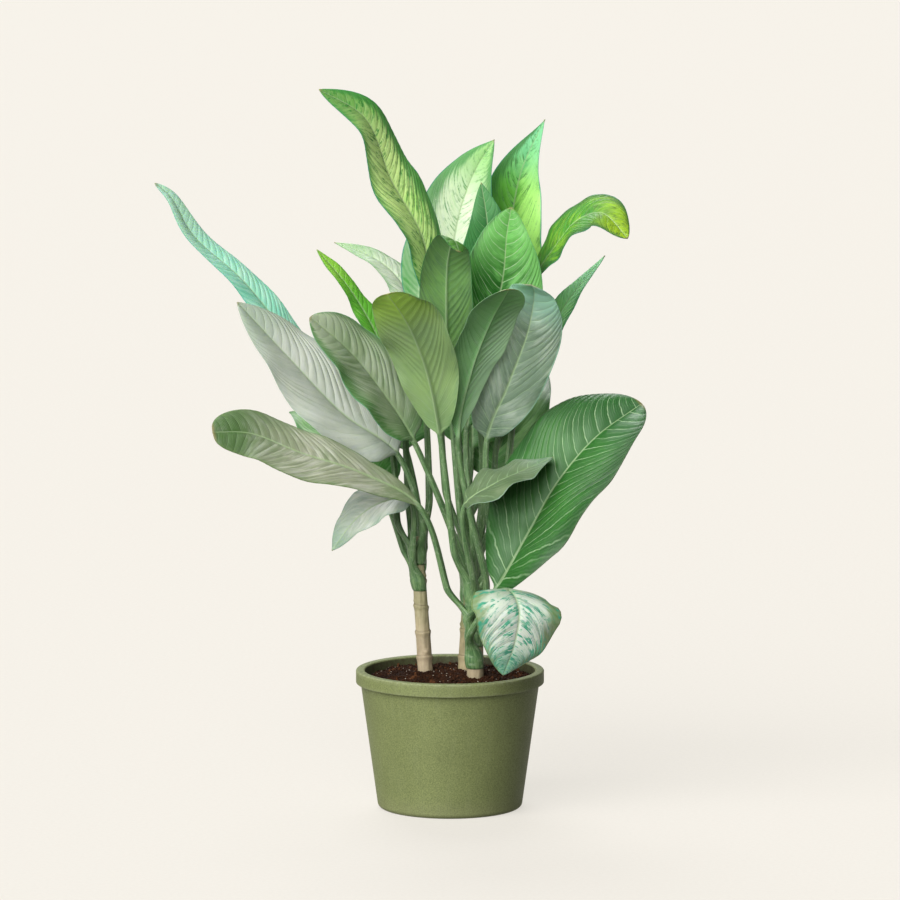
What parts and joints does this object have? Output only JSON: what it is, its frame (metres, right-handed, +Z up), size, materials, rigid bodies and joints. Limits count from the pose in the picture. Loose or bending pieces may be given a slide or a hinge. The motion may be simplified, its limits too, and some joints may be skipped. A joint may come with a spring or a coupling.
{
  "type": "potted plant",
  "caption": "Dieffenbachia with broad, pointed leaves on long stalks and ringed canes, growing in a tapered flowerpot with a collared rim.",
  "frame": {"origin": "middle of the pot's flat base, on the floor", "axes": "+Z up; -Y towards the side that the picture shows; +X to the right seen from there"},
  "size_m": [0.4408, 0.3701, 0.6516],
  "materials": {
    "pot": "satin sage green",
    "soil": "dark crumbly potting soil",
    "cane_green": "smooth green bark with leaf scars",
    "cane_tan": "beige bark with leaf scars",
    "leaf_green": "dark green with pale side veins, waxy",
    "leaf_bright": "yellow-green centre with a dark green margin, waxy",
    "leaf_olive": "olive underside with a pale midrib",
    "leaf_silver": "muted silvery green",
    "leaf_mint": "pale mint green with darker patches"
  },
  "bodies": {
    "root": {"pot": "pot", "soil": "soil", "cane_front": "cane_green", "cane_left": "cane_tan", "cane_back": "cane_green", "leaf_low_heart": "leaf_mint", "leaf_broad_right": "leaf_green", "leaf_low_left": "leaf_olive", "leaf_low_right": "leaf_silver", "leaf_front_left": "leaf_olive", "leaf_front_right": "leaf_green", "leaf_mid_left": "leaf_olive", "leaf_mid_right": "leaf_silver", "leaf_narrow_right": "leaf_mint", "leaf_centre": "leaf_green", "leaf_centre_dark": "leaf_green", "leaf_top_pale": "leaf_bright", "leaf_top_dark": "leaf_green", "leaf_tall_left": "leaf_bright", "leaf_top_right": "leaf_bright", "leaf_arched_right": "leaf_bright", "leaf_back_right": "leaf_green", "leaf_back_centre": "leaf_green", "leaf_far_left": "leaf_mint", "leaf_broad_left": "leaf_silver", "leaf_narrow_left": "leaf_green", "leaf_arched_left": "leaf_silver", "leaf_drooping_left": "leaf_silver", "leaf_back_left": "leaf_green", "leaf_back_upper": "leaf_green"}
  },
  "joints": []
}
